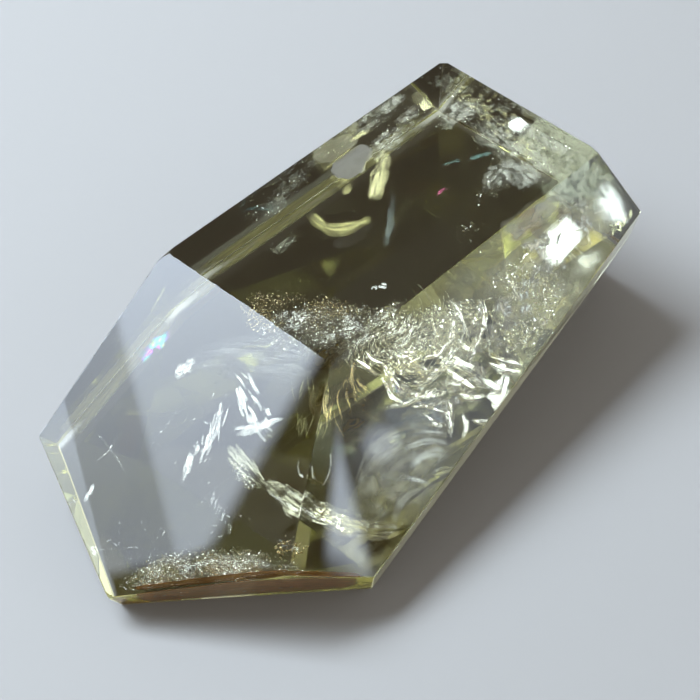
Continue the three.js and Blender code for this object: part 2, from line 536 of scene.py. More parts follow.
GRAIN_PATCH_EDGE = (0.38, 0.58)  # noise at the edge of a patch of grains, and well inside it
GRAIN_CORNERS = 5
GRAIN_THICKNESS = 0.22  # as a part of its radius
GRAIN_OUTLINE = (1.0, 0.6, 1.0)
GRAIN_LEAN = (1, 1, 8)  # it leans a little, and turns freely
SMALL_GRAINS = 2.5  # more makes more of them small

GRAIN_INPUTS = [
    ("Sheet", "NodeSocketGeometry"),
    ("Grains per area", "NodeSocketFloat"),
    ("Patch scale", "NodeSocketFloat"),
    ("Depth", "NodeSocketFloat"),
    ("Smallest", "NodeSocketFloat"),
    ("Largest", "NodeSocketFloat"),
    ("Looks", "NodeSocketVector"),
    ("Lean", "NodeSocketFloat"),
    ("Seed", "NodeSocketInt"),
    ("Film", "NodeSocketMaterial"),
]


def grain_tree():
    """Scatters flat grains over a sheet in patches. They look roughly one way, and most are small."""
    tree = bpy.data.node_groups.new("grain_scatter", "GeometryNodeTree")
    for name, kind in GRAIN_INPUTS:
        tree.interface.new_socket(name=name, in_out="INPUT", socket_type=kind)
    tree.interface.new_socket(name="Grains", in_out="OUTPUT", socket_type="NodeSocketGeometry")
    given = node(tree, "NodeGroupInput").outputs

    patches = node(tree, "ShaderNodeTexNoise", {"Detail": 3.0}, {"Scale": given["Patch scale"]})
    thick = node(tree, "ShaderNodeMapRange",
                 {"From Min": GRAIN_PATCH_EDGE[0], "From Max": GRAIN_PATCH_EDGE[1]},
                 {"Value": patches.outputs["Fac"]})
    density = node(tree, "ShaderNodeMath", {"operation": "MULTIPLY"},
                   {0: thick.outputs["Result"], 1: given["Grains per area"]})
    points = node(tree, "GeometryNodeDistributePointsOnFaces", links={
        "Mesh": given["Sheet"], "Density": density.outputs[0], "Seed": given["Seed"],
    })
    shift = node(tree, "FunctionNodeRandomValue",
                 {"data_type": "FLOAT_VECTOR", 0: (-1, -1, -1), 1: (1, 1, 1)}, {"Seed": given["Seed"]})
    offset = node(tree, "ShaderNodeVectorMath", {"operation": "SCALE"},
                  {0: shift.outputs[0], "Scale": given["Depth"]})
    placed = node(tree, "GeometryNodeSetPosition", links={
        "Geometry": points.outputs["Points"], "Offset": offset.outputs[0],
    })

    grain = node(tree, "GeometryNodeMeshCone", {
        "Vertices": GRAIN_CORNERS, "Radius Top": 0.0, "Radius Bottom": 1.0, "Depth": GRAIN_THICKNESS,
    })
    flat = node(tree, "GeometryNodeTransform", {"Scale": GRAIN_OUTLINE},
                {"Geometry": grain.outputs["Mesh"]})
    least, most = (
        node(tree, "ShaderNodeVectorMath", {"operation": "SCALE", 0: [side * lean for lean in GRAIN_LEAN]},
             {"Scale": given["Lean"]}).outputs[0]
        for side in (-1, 1)
    )
    lean = node(tree, "FunctionNodeRandomValue", {"data_type": "FLOAT_VECTOR"}, {0: least, 1: most})
    turn = node(tree, "FunctionNodeEulerToRotation", links={0: lean.outputs[0]})
    face_up = node(tree, "FunctionNodeAlignRotationToVector", {"axis": "Z"}, {"Vector": given["Looks"]})
    lie = node(tree, "FunctionNodeRotateRotation", {"rotation_space": "LOCAL"},
               {0: face_up.outputs[0], 1: turn.outputs[0]})
    chance = node(tree, "FunctionNodeRandomValue", {"data_type": "FLOAT"}, {"Seed": given["Seed"]})
    mostly_small = node(tree, "ShaderNodeMath", {"operation": "POWER", 1: SMALL_GRAINS},
                        {0: chance.outputs[1]})
    size = node(tree, "ShaderNodeMapRange", links={
        "Value": mostly_small.outputs[0], "To Min": given["Smallest"], "To Max": given["Largest"],
    })

    grains = node(tree, "GeometryNodeInstanceOnPoints", links={
        "Points": placed.outputs[0], "Instance": flat.outputs[0],
        "Rotation": lie.outputs[0], "Scale": size.outputs["Result"],
    })
    real = node(tree, "GeometryNodeRealizeInstances", links={"Geometry": grains.outputs[0]})
    coated = node(tree, "GeometryNodeSetMaterial",
                  links={"Geometry": real.outputs[0], "Material": given["Film"]})
    node(tree, "NodeGroupOutput", links={"Grains": coated.outputs[0]})
    return tree


GRAIN_TREE = grain_tree()


def scatter_grains(name, film, made, per_area, patches, depth, sizes, looks, lean, seed):
    """Grains over some sheets, as one piece. Sizes are millimetres, and looks is an azimuth and a tilt."""
    points = []
    faces = []
    for places, corners, _, _ in made:
        upper_half = corners[:len(corners) // 2]
        faces += (upper_half + len(points)).tolist()
        points += (places * MM).tolist()
    mesh = bpy.data.meshes.new(name + "_sheet")
    mesh.from_pydata(points, [], faces)
    carrier = bpy.data.objects.new(name + "_sheet", mesh)
    bpy.context.scene.collection.objects.link(carrier)
    modifier = carrier.modifiers.new("grains", "NODES")
    modifier.node_group = GRAIN_TREE
    values = {
        "Grains per area": per_area / MM ** 2,
        "Patch scale": patches / MM,
        "Depth": depth * MM,
        "Smallest": sizes[0] / 2 * MM,
        "Largest": sizes[1] / 2 * MM,
        "Looks": direction(*looks).tolist(),
        "Lean": math.radians(lean),
        "Seed": seed,
        "Film": FILMS[film],
    }
    for item in GRAIN_TREE.interface.items_tree:
        if item.name in values:
            modifier[item.identifier] = values[item.name]
    seen = carrier.evaluated_get(bpy.context.evaluated_depsgraph_get())
    grains = bpy.data.meshes.new_from_object(seen)
    bpy.data.objects.remove(carrier)
    grains.name = name
    grains.materials.clear()
    places = np.empty(3 * len(grains.vertices))
    grains.vertices.foreach_get("co", places)
    grains.vertices.foreach_set("co", (kept_inside(places.reshape(-1, 3) / MM) * MM).ravel())
    keep(add_object(name, grains, FILMS[film]))


# ---------------------------------------------------------------- what is sealed in the stone

# Ways that fractures look, as azimuth and tilt. The quartz breaks along a few directions only.
ALONG_TABLE = (175, 19)  # these throw the window light out through the table,
ALONG_WALL = (136, 27)  # the same next to the left wall,
ALONG_SLOPE = (179, 29)  # out through the long slope,
ACROSS_SIDE = (194, 25)  # out through the side slope, near the ridge,
LOW_ACROSS_SIDE = (215.5, 28.6)  # and lower down it
CLUMPED = (215, 30)  # the crushed clumps there,
GLITTERING = (215, 29)  # the grains on them,
UNDER_RIDGE = (225, 32)  # and the crushed curtain above them
ALONG_SIDE = (255, 40)  # these lie along the side slope and pick up the weaker side light,
UNDER_SIDE_LIGHT = (254, 26)  # and this one does through the table
FROM_BELOW = (141, 69)  # these catch light that comes in by the faces under the point
FROM_KEEL = (27, 66)
FRONT_WALL = (219, 117.9)  # flat against the front wall
BASE_SIDE = (90, 140)  # flat against the rolled base edge, at its middle
BASE_END = (80, 140)  # and towards the end

DEEP_SKIN = 0.8  # how deep wide veils stay under a face
SHALLOW_SKIN = 0.5
BASE_SKIN = 0.08
STAIN_SKIN = 0.05


def make_centre():
    """The middle of the stone, where old breaks have healed: a curtain of grains under the ridge, and
    shell-shaped fractures that fan out below it to the girdle."""
    curtain = {"bulge": 0.6, "crumple": 0.4, "along": 30, "across": 10}
    under_table, gold_side = sheets(ALONG_TABLE, [
        (6.5, 1, (-9.5, 5, 18.4), (-7, 1.0, 18.4), (-5.0, -3.5, 18.4), (0.5, -7.0, 18.8)),
        (4.5, 7, (-6.5, 9.5, 17.2), (-6.5, 5.0, 17.6), (-4.2, 0.5, 18.5), (-1.5, -3.5, 18.7)),
    ], **curtain)
    under_side = sheets(UNDER_RIDGE, [
        (6.5, 2, (-6, -6.5, 17.5), (0.0, -9.0, 17.0), (5.5, -12.0, 16.6), (11.5, -14.8, 16.0)),
    ], **curtain)
    join_sheets("crushed_curtain", "crushed", [under_table] + under_side)
    scatter_grains("table_grains", "grain", [under_table], per_area=55, patches=0.22, depth=0.9,
                   sizes=(0.04, 0.30), looks=ALONG_TABLE, lean=24, seed=3)
    scatter_grains("gold_grains", "gold", [gold_side], per_area=50, patches=0.25, depth=0.8,
                   sizes=(0.05, 0.36), looks=ALONG_TABLE, lean=20, seed=6)
    scatter_grains("centre_grains", "grain", under_side, per_area=80, patches=0.22, depth=0.8,
                   sizes=(0.04, 0.32), looks=LOW_ACROSS_SIDE, lean=30, seed=4)
    scatter_grains("centre_chips", "grain", under_side, per_area=8, patches=0.2, depth=1.0,
                   sizes=(0.4, 1.1), looks=GLITTERING, lean=24, seed=5)

    # The heart of the old blow. Strokes and shells fan out from it.
    focus = np.array([-1.5, -8.0, 16.4])
    high_focus = np.array([-1.5, -6.5, 18.2])
    iron_focus = np.array([-7.5, -6.5, 17.5])
    hair = {"length": 1.8, "width": 0.14, "bend": 0.6, "along": 8, "across": 2, "soft": 0.3}
    join_sheets("crushed_hairs", "hair", (
        fan(150, high_focus, ALONG_TABLE, turns=(-130, 60), reaches=(0.5, 6.5), seed=401, **hair)
        + fan(170, focus, LOW_ACROSS_SIDE, turns=(-40, 85), reaches=(0.5, 11.0), seed=601, **hair)
    ))
    stroke = {"taper": 0.9, "crumple": 0.08, "along": 16, "across": 6}
    join_sheets("centre_strokes", "ribbed", fan(
        22, focus, ACROSS_SIDE, turns=(-70, 30), reaches=(2.0, 6.5), length=4.0, width=0.7, bend=0.9,
        seed=21, **stroke,
    ) + fan(
        18, focus, LOW_ACROSS_SIDE, turns=(-30, 50), reaches=(6.0, 12.0), length=4.5, width=1.1, bend=0.7,
        seed=221, **stroke,
    ))
    join_sheets("centre_flows", "ribbed", sheets(ACROSS_SIDE, [
        (1.2, 26, (-2.2, -7.7, 16.1), (-4.4, -10.2, 14.8), (-6.5, -13.3, 13.5)),
        (1.5, 27, (-1.5, -9.6, 15.9), (-1.4, -12.1, 15.6), (-2.6, -15.3, 14.7)),
        (0.9, 28, (-2.5, -6.8, 16.8), (-4.4, -7.3, 15.8), (-6.6, -6.5, 14.9)),
    ], bulge=0.2) + sheets(ACROSS_SIDE, [
        (0.5, 29, (-8.4, -11.6, 12.9), (-6.6, -14.1, 13.4), (-3.8, -16.2, 14.4)),
    ], bulge=0.1) + sheets(LOW_ACROSS_SIDE, [
        (2.2, 22, (3.4, -12.5, 13.8), (3.9, -16.0, 12.9), (4.4, -20.2, 11.7), (5.3, -22.6, 11.4)),
        (1.3, 23, (2.2, -12.0, 13.8), (2.2, -16.0, 12.5), (2.7, -20.0, 11.5)),
        (1.8, 24, (7.2, -17.6, 11.7), (8.1, -20.4, 11.2), (9.5, -22.9, 10.9)),
        (1.1, 25, (8.1, -17.4, 12.0), (9.2, -20.1, 11.7), (10.5, -22.7, 11.4)),
        (1.4, 231, (1.1, -16.5, 10.6), (1.8, -18.7, 10.2), (3.7, -20.9, 10.3)),
        (1.0, 232, (-0.7, -16.8, 10.8), (-1.6, -18.0, 10.1), (-3.0, -18.7, 9.2)),
        (1.0, 233, (-1.0, -9.1, 15.1), (-0.8, -11.4, 14.5), (-1.8, -14.3, 13.2)),
        (1.0, 234, (0.1, -19.7, 8.0), (0.9, -21.2, 7.9), (2.4, -22.6, 8.0)),
        (1.3, 235, (15.5, -17.7, 12.9), (14.6, -19.6, 11.9), (12.7, -20.1, 10.9)),
        (1.0, 237, (12.7, -13.3, 16.5), (11.1, -14.8, 15.3), (8.5, -15.8, 13.8)),
        (1.0, 238, (18.6, -13.2, 17.3), (17.7, -15.0, 16.3), (16.8, -17.0, 15.3)),
        (1.0, 239, (22.4, -16.5, 15.1), (21.8, -18.7, 14.1), (21.6, -20.6, 13.4)),
    ], bulge=0.1) + sheets(LOW_ACROSS_SIDE, [
        (1.5, 236, (8.4, -10.0, 16.3), (6.7, -12.6, 14.7), (6.4, -15.6, 13.6), (9.9, -16.3, 15.0)),
    ], bulge=0.1, along=36) + sheets(LOW_ACROSS_SIDE, [
        (0.50, 800, (-4.5, -7.1, 17.4), (-4.9, -10.1, 16.2), (-5.9, -13.2, 14.9)),
        (0.65, 801, (-8.0, -11.3, 13.1), (-6.2, -13.8, 13.2), (-3.1, -15.6, 14.0)),
        (0.80, 802, (-6.6, -10.6, 15.3), (-7.1, -12.3, 14.6), (-6.8, -14.2, 14.1)),
        (0.95, 803, (-1.5, -17.0, 10.9), (-3.2, -18.9, 9.6), (-4.5, -20.1, 8.6)),
        (1.10, 804, (-0.1, -18.6, 9.9), (-1.4, -20.2, 8.8), (-3.2, -20.8, 7.8)),
        (0.50, 805, (1.8, -12.2, 15.6), (2.1, -14.7, 14.9), (3.0, -16.7, 14.7)),
        (0.65, 806, (5.0, -10.1, 18.0), (3.9, -11.9, 17.0), (4.2, -13.4, 16.6)),
        (0.80, 807, (8.6, -11.4, 18.9), (7.7, -13.8, 17.7), (5.7, -16.5, 15.9)),
        (0.95, 808, (12.3, -13.8, 17.6), (10.7, -15.6, 16.3), (7.6, -16.3, 14.7)),
    ], taper=0.9, ragged=0.6, along=30) + sheets(ACROSS_SIDE, [
        (0.8, 271, (-7.7, -6.3, 18.6), (-7.5, -8.6, 18.5), (-7.8, -11.5, 18.0)),
        (1.6, 272, (-4.8, -9.2, 16.8), (-5.9, -10.9, 16.1), (-7.2, -12.9, 15.3)),
        (0.9, 273, (-5.5, -6.9, 18.6), (-6.0, -8.5, 18.2), (-5.5, -10.9, 18.2)),
        (1.1, 275, (-2.7, -9.7, 16.8), (-3.3, -11.7, 16.3), (-3.2, -14.5, 16.1)),
    ], bulge=0.2, ragged=0.6))
    join_sheets("shell_fractures", "shell", fan(
        9, focus, ALONG_SIDE, turns=(-60, 50), reaches=(5.0, 12.0), length=6.0, width=4.0, bend=0.8,
        seed=30, ripple=0.05, wave=1.2, crumple=0.12, along=40, across=16,
    ))
    join_sheets("girdle_flashes", "ribbed", sheets(LOW_ACROSS_SIDE, [
        (2.6, 31, (3.6, -20.1, 9.5), (5.2, -21.5, 9.8), (8.0, -20.8, 11.2)),
    ], taper=0.7, soft=0.4, ragged=0.5, along=40, across=12) + sheets(LOW_ACROSS_SIDE, [
        (2.0, 32, (3.2, -21.4, 8.7), (4.7, -22.2, 9.1), (6.6, -23.2, 9.2)),
    ], taper=0.25, soft=0.15))

    # Painted shade: honey-brown films where refraction makes the stone look dark brown.
    join_sheets("painted_shade_zone", "brown_shade", sheets(ALONG_SIDE, [
        (6.0, 33, (-14.9, -7.6, 14.8), (-11.4, -8.3, 15.0), (-7.7, -10.5, 14.0)),
        (5.0, 34, (-16.6, -9.5, 12.9), (-13.6, -10.6, 12.7), (-10.2, -11.9, 12.4)),
    ], crumple=0.3, taper=0.3) + sheets(ALONG_SIDE, [
        (3.0, 333, (-13.0, -3.7, 19.5), (-9.6, -4.8, 19.3), (-6.0, -5.8, 19.0)),
    ], taper=0.3))
    join_sheets("amber_streaks", "amber", fan(
        26, iron_focus, ACROSS_SIDE, turns=(-95, -35), reaches=(1.0, 8.0), length=5.0, width=0.7, bend=0.5,
        seed=701, along=16, across=4,
    ))
    join_sheets("grey_cell", "cool", sheets(ALONG_SIDE, [
        (5.0, 35, (-10.1, -13.3, 12.3), (-6.4, -15.4, 11.7), (-2.5, -17.8, 10.8)),
    ], taper=0.15, soft=0.3))
    soft_arc = {"crumple": 0.1, "ragged": 0.6, "soft": 1.0}
    join_sheets("healed_arcs", "arc", sheets(ALONG_SIDE, [
        (4.5, 36, (-20.5, -15.1, 8.6), (-14.4, -14.0, 10.9), (-7.8, -16.4, 10.8), (-3.5, -21.1, 8.3)),
        (5.0, 37, (-19.0, -17.5, 6.4), (-13.2, -16.2, 9.1), (-8.8, -18.5, 8.6), (-6.0, -21.5, 7.4)),
    ], along=50, across=16, **soft_arc) + sheets(ALONG_SIDE, [
        (3.0, 38, (-19.2, -20.5, 4.3), (-14.6, -19.8, 6.0), (-9.5, -21.6, 6.0)),
    ], **soft_arc))
    join_sheets("growth_arcs", "ring", sheets(ALONG_SIDE, [
        (1.4, 261, (-12.6, -17.4, 11.6), (-10.1, -18.0, 11.6), (-7.6, -19.4, 11.0), (-5.6, -21.8, 9.5)),
        (1.8, 262, (-13.1, -19.0, 10.2), (-10.4, -19.4, 10.4), (-8.1, -20.5, 10.0), (-6.7, -22.0, 9.1)),
        (1.0, 263, (-15.9, -18.0, 9.8), (-13.2, -19.8, 9.0), (-11.2, -22.2, 7.4)),
        (1.4, 264, (-11.5, -20.0, 6.9), (-8.8, -20.8, 6.9), (-6.6, -22.0, 6.2)),
        (0.8, 265, (-11.0, -16.6, 12.5), (-7.6, -18.2, 12.0), (-5.0, -20.5, 10.7)),
    ], ragged=0.4, soft=1.0, along=40))
    join_sheets("low_veil", "cloud", sheets(ALONG_SIDE, [
        (8.0, 39, (-24, -18, 6.5), (-17, -16.5, 8.0), (-10, -17.5, 8.5), (-2, -19.5, 8.5)),
    ], taper=0.3, crumple=0.3, ragged=0.2, along=50, across=16, skin=DEEP_SKIN))
    join_sheets("straw_flake", "straw", sheets(LOW_ACROSS_SIDE, [
        (1.6, 140, (-10.9, -13.9, 10.2), (-9.7, -14.6, 10.5), (-8.5, -15.3, 10.8)),
    ], taper=0.1, ragged=0.1, soft=0.2))


def make_side():
    """Behind the side slope. Wide healed breaks lie along the whole slope: their sides have nearly grown
    together again, and they glow softly. Clear flat breaks flash over them at the far end."""
    join_sheets("side_veils", "cloud", sheets(ALONG_SIDE, [
        (7.0, 41, (12.0, -12.0, 14.6), (20.4, -13.5, 15.6), (31.2, -16.0, 16.7), (39.7, -17.4, 17.7)),
        (10.0, 42, (8.0, -18.0, 10.4), (14.0, -18.4, 11.8), (21.0, -18.9, 12.8), (30.0, -20.0, 14.0)),
    ], taper=0.3, crumple=0.3, ragged=0.15, along=50, across=16, skin=DEEP_SKIN) + sheets(ALONG_SIDE, [
        (8.0, 43, (28.0, -16.0, 17.0), (34.0, -17.5, 17.5), (39.0, -19.0, 17.0)),
    ], taper=0.2, crumple=0.3, along=30, across=12, skin=DEEP_SKIN) + sheets(ALONG_SIDE, [
        (3.6, 149, (19.0, -12.9, 22.3), (25.0, -14.0, 22.8), (32.5, -15.2, 23.0)),
    ], taper=0.2, along=40, across=10, skin=SHALLOW_SKIN))
    start = (6, -15, 13)
    end = (34, -17, 17)
    join_sheets("side_flats", "shell", splinters(
        50, start, end, ALONG_SIDE, spread=2.4, length=4.5, width=2.6, loose=9, seed=50,
        taper=0.3, ragged=0.6, crumple=0.1, along=16,
    ))
    join_sheets("side_slivers", "ribbed", splinters(
        50, start, end, LOW_ACROSS_SIDE, spread=2.4, length=3.0, width=0.35, loose=9, seed=110,
        crumple=0.1, along=12, across=4,
    ))
    clumps = sheets(CLUMPED, [
        (5, 44, (16, -13.5, 18.5), (19, -16, 17), (21, -19, 15), (20, -21.5, 13)),
        (4, 45, (8, -17, 14.5), (13, -20, 13.5), (20, -21, 14)),
    ], crumple=0.4)
    scatter_grains("side_grains", "grain", clumps, per_area=30, patches=0.3, depth=0.9,
                   sizes=(0.08, 0.6), looks=GLITTERING, lean=24, seed=46)

    fine = {"along": 30, "across": 12}
    join_sheets("end_flashes", "flash", sheets(LOW_ACROSS_SIDE, [
        (5.4, 47, (24.2, -15.8, 15.8), (28.0, -16.3, 17.3), (31.6, -17.2, 18.6)),
    ], taper=0.08, ragged=0.05, **fine))
    join_sheets("tip_glow", "glow", sheets(LOW_ACROSS_SIDE, [
        (8.0, 48, (34.6, -17.6, 17.4), (38.1, -19.3, 18.6), (40.2, -20.4, 19.0)),
    ], taper=0.3, ragged=0.1, soft=1.0, **fine))
    join_sheets("pale_band", "cloud", sheets(LOW_ACROSS_SIDE, [
        (5.0, 249, (23.4, -20.4, 15.0), (27.6, -21.3, 16.0), (31.4, -22.5, 17.2)),
    ], ragged=0.4, soft=1.0, crumple=0.1, **fine))
    end_scale = {"width": 2.2, "loose": 9, "along": 10, "across": 6}
    join_sheets("end_scales", "scale", splinters(
        60, (32, -13.5, 22), (38.5, -18.5, 20), ACROSS_SIDE, spread=1.8, length=4.0, seed=441, **end_scale,
    ) + splinters(
        26, (36.5, -13.5, 23), (40, -17, 21.5), ACROSS_SIDE, spread=1.2, length=3.5, seed=541, **end_scale,
    ))
    start = (34.8, -20.6, 16.4)
    end = (38.8, -21.2, 16.6)
    tip_scale = {"spread": 0.8, "length": 2.8, "width": 1.9, "loose": 6, "soft": 1.0, "along": 12}
    join_sheets("tip_scales", "cloud", (
        splinters(14, start, end, FROM_BELOW, seed=571, **tip_scale)
        + splinters(10, start, end, FROM_KEEL, seed=591, **tip_scale)
    ))


def make_slope():
    """Under the long slope: feathers that run in from the ridge, a cluster of splinters, loose flakes,
    and a sandy veil along the front edge."""
    join_sheets("feathers", "feather", sheets(ALONG_SLOPE, [
        (2.6, 51, (-23.1, 0.8, 11.0), (-24.4, -2.9, 10.3), (-25.6, -6.7, 9.7)),
    ], crumple=0.01, along=60, across=16, soft=0.3) + sheets(ALONG_SLOPE, [
        (3.4, 52, (-24.9, -6.2, 10.0), (-25.3, -10.3, 9.8), (-25.3, -14.0, 9.8), (-23.2, -17.6, 10.2)),
    ], crumple=0.015, along=80, across=16, soft=0.2))
    join_sheets("low_feathers", "leaf", sheets(ALONG_SIDE, [
        (3.4, 53, (-26.1, -12.5, 11.0), (-24.6, -15.5, 8.9), (-21.8, -19.0, 6.7), (-18.5, -21.9, 5.1)),
    ], crumple=0.08, along=70, across=16, soft=0.3) + sheets(ACROSS_SIDE, [
        (2.2, 56, (-25.0, -12.0, 9.2), (-24.6, -15.5, 8.9), (-23.1, -20.5, 9.1)),
    ], crumple=0.06, along=70, across=16, soft=0.3))
    join_sheets("ridge_milk", "milk", sheets(ALONG_SLOPE, [
        (7.0, 57, (-17.0, 13.0, 14.3), (-13.9, 7.1, 16.0), (-11.3, -0.8, 17.5), (-11.3, -5.5, 17.6)),
    ], crumple=0.2, along=50, across=12))
    join_sheets("feather_rims", "slope_break", sheets(ALONG_SLOPE, [
        (0.5, 54, (-25.7, -6.4, 9.9), (-26.1, -10.3, 9.7), (-26.0, -14.2, 9.7), (-23.8, -17.9, 10.1)),
        (0.3, 55, (-24.1, -6.0, 10.1), (-24.4, -10.3, 9.9), (-24.5, -13.8, 9.9), (-22.5, -17.3, 10.3)),
    ]))
    torn = sheets(ALONG_SLOPE, [
        (1.5, 251, (-24.4, -0.9, 11.2), (-25.5, -2.6, 10.8), (-26.3, -4.6, 10.4), (-26.4, -5.9, 10.3)),
        (0.6, 252, (-26.2, -7.6, 10.3), (-26.5, -10.4, 10.2), (-26.5, -12.4, 10.1)),
    ])
    scatter_grains("feather_grains", "grain", torn, per_area=90, patches=0.4, depth=0.3,
                   sizes=(0.05, 0.26), looks=ALONG_SLOPE, lean=18, seed=253)

    join_sheets("slope_flakes", "slope_break", sheets(ALONG_SLOPE, [
        (1.3, 61, (-23.3, 3.1, 9.8), (-21.1, 3.9, 11.0), (-18.9, 4.6, 12.3)),
        (1.0, 62, (-25.2, 3.7, 8.9), (-24.1, 3.5, 9.5), (-23.0, 3.3, 10.0)),
        (1.2, 63, (-29.2, 3.8, 6.7), (-27.1, 4.4, 7.9), (-25.1, 5.0, 8.9)),
        (0.7, 64, (-15.6, 4.1, 12.9), (-16.2, 3.1, 12.6), (-16.9, 2.0, 12.2)),
        (0.7, 65, (-13.5, 4.3, 14.0), (-14.6, 2.6, 13.4), (-15.5, 0.8, 12.9)),
        (0.9, 66, (-16.1, 0.4, 12.6), (-16.5, -0.8, 12.3), (-17.0, -2.0, 12.1)),
        (0.9, 67, (-18.1, 1.2, 11.5), (-18.7, 0.2, 11.2), (-19.4, -0.8, 10.8)),
        (1.3, 68, (-20.9, 1.2, 10.0), (-18.8, -1.2, 11.2), (-16.5, -3.3, 12.5)),
        (0.7, 281, (-21.3, 1.3, 12.0), (-20.6, 0.2, 12.4), (-19.9, -1.0, 12.8)),
        (0.9, 282, (-19.5, -1.2, 12.9), (-18.6, -2.7, 13.4), (-17.5, -4.2, 14.1)),
        (0.9, 283, (-17.2, 3.3, 14.2), (-18.1, 2.1, 13.7), (-18.7, 0.9, 13.4)),
        (1.0, 71, (-37.5, 13.8, 4.6), (-36.2, 13.9, 5.3), (-34.8, 14.1, 6.0)),
        (0.9, 74, (-19.6, 22.3, 12.6), (-17.8, 22.3, 13.4), (-16.2, 22.3, 14.2)),
    ]) + sheets(ALONG_SLOPE, [
        (2.0, 86, (-17.9, 13.1, 10.7), (-16.1, 12.6, 11.7), (-14.4, 12.0, 12.7)),
    ], ragged=0.7) + sheets(ALONG_SLOPE, [
        (1.8, 72, (-43.3, 9.0, 5.6), (-43.5, 7.2, 5.5), (-44.0, 5.2, 5.1)),
    ], ragged=0.6) + sheets(ALONG_SLOPE, [
        (0.6, 73, (-30.4, -11.7, 8.1), (-30.5, -13.2, 8.0), (-31.0, -14.2, 7.7)),
    ], ragged=0.8) + sheets(ALONG_SLOPE, [
        (0.4, 76, (-29.5, 18.0, 9.0), (-30.4, 14.8, 8.2), (-32.0, 11.0, 7.4)),
        (0.4, 77, (-32.5, 15.5, 7.2), (-31.0, 14.8, 8.0), (-29.1, 14.7, 9.1)),
    ], crumple=0.1))
    hair = {"length": 5.0, "width": 0.25, "loose": 6, "lying": (100, 135), "bow": 0.05, "along": 16,
            "across": 4}
    join_sheets("hair_lines", "pale", (
        splinters(9, (-13.5, -2, 14.6), (-11.8, -6.5, 15.4), ALONG_SLOPE, spread=0.5, seed=131, **hair)
        + splinters(7, (-16.8, -4.5, 12.6), (-15.6, -9, 13.4), ALONG_SLOPE, spread=0.4, seed=141, **hair)
    ))
    join_sheets("growth_threads", "slope_break", sheets(ALONG_SLOPE, [
        (0.3, 78, (-17.8, -9.7, 12.2), (-19.8, -11.0, 11.1), (-22.1, -11.3, 9.8)),
        (0.5, 79, (-37.8, 16.5, 5.3), (-38.0, 15.8, 5.2), (-38.3, 14.2, 5.1)),
    ]))
    gold_spot = sheets(ALONG_SLOPE, [
        (2.0, 121, (-31.5, -12.7, 7.2), (-30.5, -13.7, 7.8), (-29.8, -13.2, 8.2)),
    ], crumple=0.3)
    scatter_grains("gold_spot", "gold", gold_spot, per_area=40, patches=0.5, depth=0.5,
                   sizes=(0.08, 0.5), looks=ALONG_SLOPE, lean=18, seed=122)

    specks = sheets(ALONG_SLOPE, [
        (0.35, 391, (-20.6, -8.9, 11.7), (-21.3, -9.1, 11.3), (-22.0, -9.9, 10.9), (-22.1, -10.8, 10.9)),
    ])
    for count, start, end, spread, length, width, loose, seed, lying, bow, along, soft in (
        (20, (-15, 4.5, 13.2), (-18.5, -2, 11.2), 1.3, 3.2, 0.7, 4, 75, (138, 168), 0.04, 12, 0.3),
        (18, (-18.5, 4, 12), (-27.5, 3.5, 8), 0.9, 3.2, 0.7, 4, 105, (90, 125), 0.04, 12, 0.3),
        (16, (-15, 9, 13.5), (-30, 2, 8), 3.0, 1.0, 0.3, 5, 135, (0, 360), 0.04, 8, 0.3),
        (30, (-43, 8, 5), (-30, -8, 8), 2.4, 0.9, 0.2, 4, 301, (0, 360), 0.2, 10, 0.2),
        (16, (-29.8, -1.4, 8.3), (-31.8, -5.8, 7.2), 0.25, 1.8, 0.18, 3, 351, (95, 110), 0.02, 10, 0.2),
        (18, (-28, 9.9, 9.4), (-21.8, 9, 12.9), 0.12, 0.5, 0.2, 4, 371, (0, 360), 0.2, 8, 0.2),
    ):
        specks += splinters(count, start, end, ALONG_SLOPE, spread, length, width, loose, seed,
                            lying, bow, along=along, across=4, soft=soft)
    join_sheets("slope_specks", "speck", specks)
    sand = sheets(ALONG_SLOPE, [
        (3.8, 81, (-44.0, 2.5, 3.0), (-40.5, -1.0, 3.8), (-37.3, -4.9, 4.6), (-35.0, -9.5, 5.6),
         (-34.3, -12.0, 6.2), (-32.6, -15.4, 7.2)),
    ], bulge=0.3, crumple=0.4, along=30, skin=DEEP_SKIN)
    join_sheets("sand_haze", "crushed_slope", sand)
    scatter_grains("sand_veil", "grain", sand, per_area=150, patches=0.4, depth=0.7,
                   sizes=(0.04, 0.26), looks=ALONG_SLOPE, lean=18, seed=82)
    join_sheets("rainbow_fractures", "rainbow", sheets(ALONG_SLOPE, [
        (2.4, 85, (-17.7, 19.8, 9.8), (-15.4, 18.8, 11.1), (-12.3, 17.4, 12.8)),
    ], ragged=0.7) + sheets(ACROSS_SIDE, [
        (1.4, 87, (-6.6, -10.6, 15.3), (-5.9, -13.7, 15.3)),
    ], ragged=0.7))


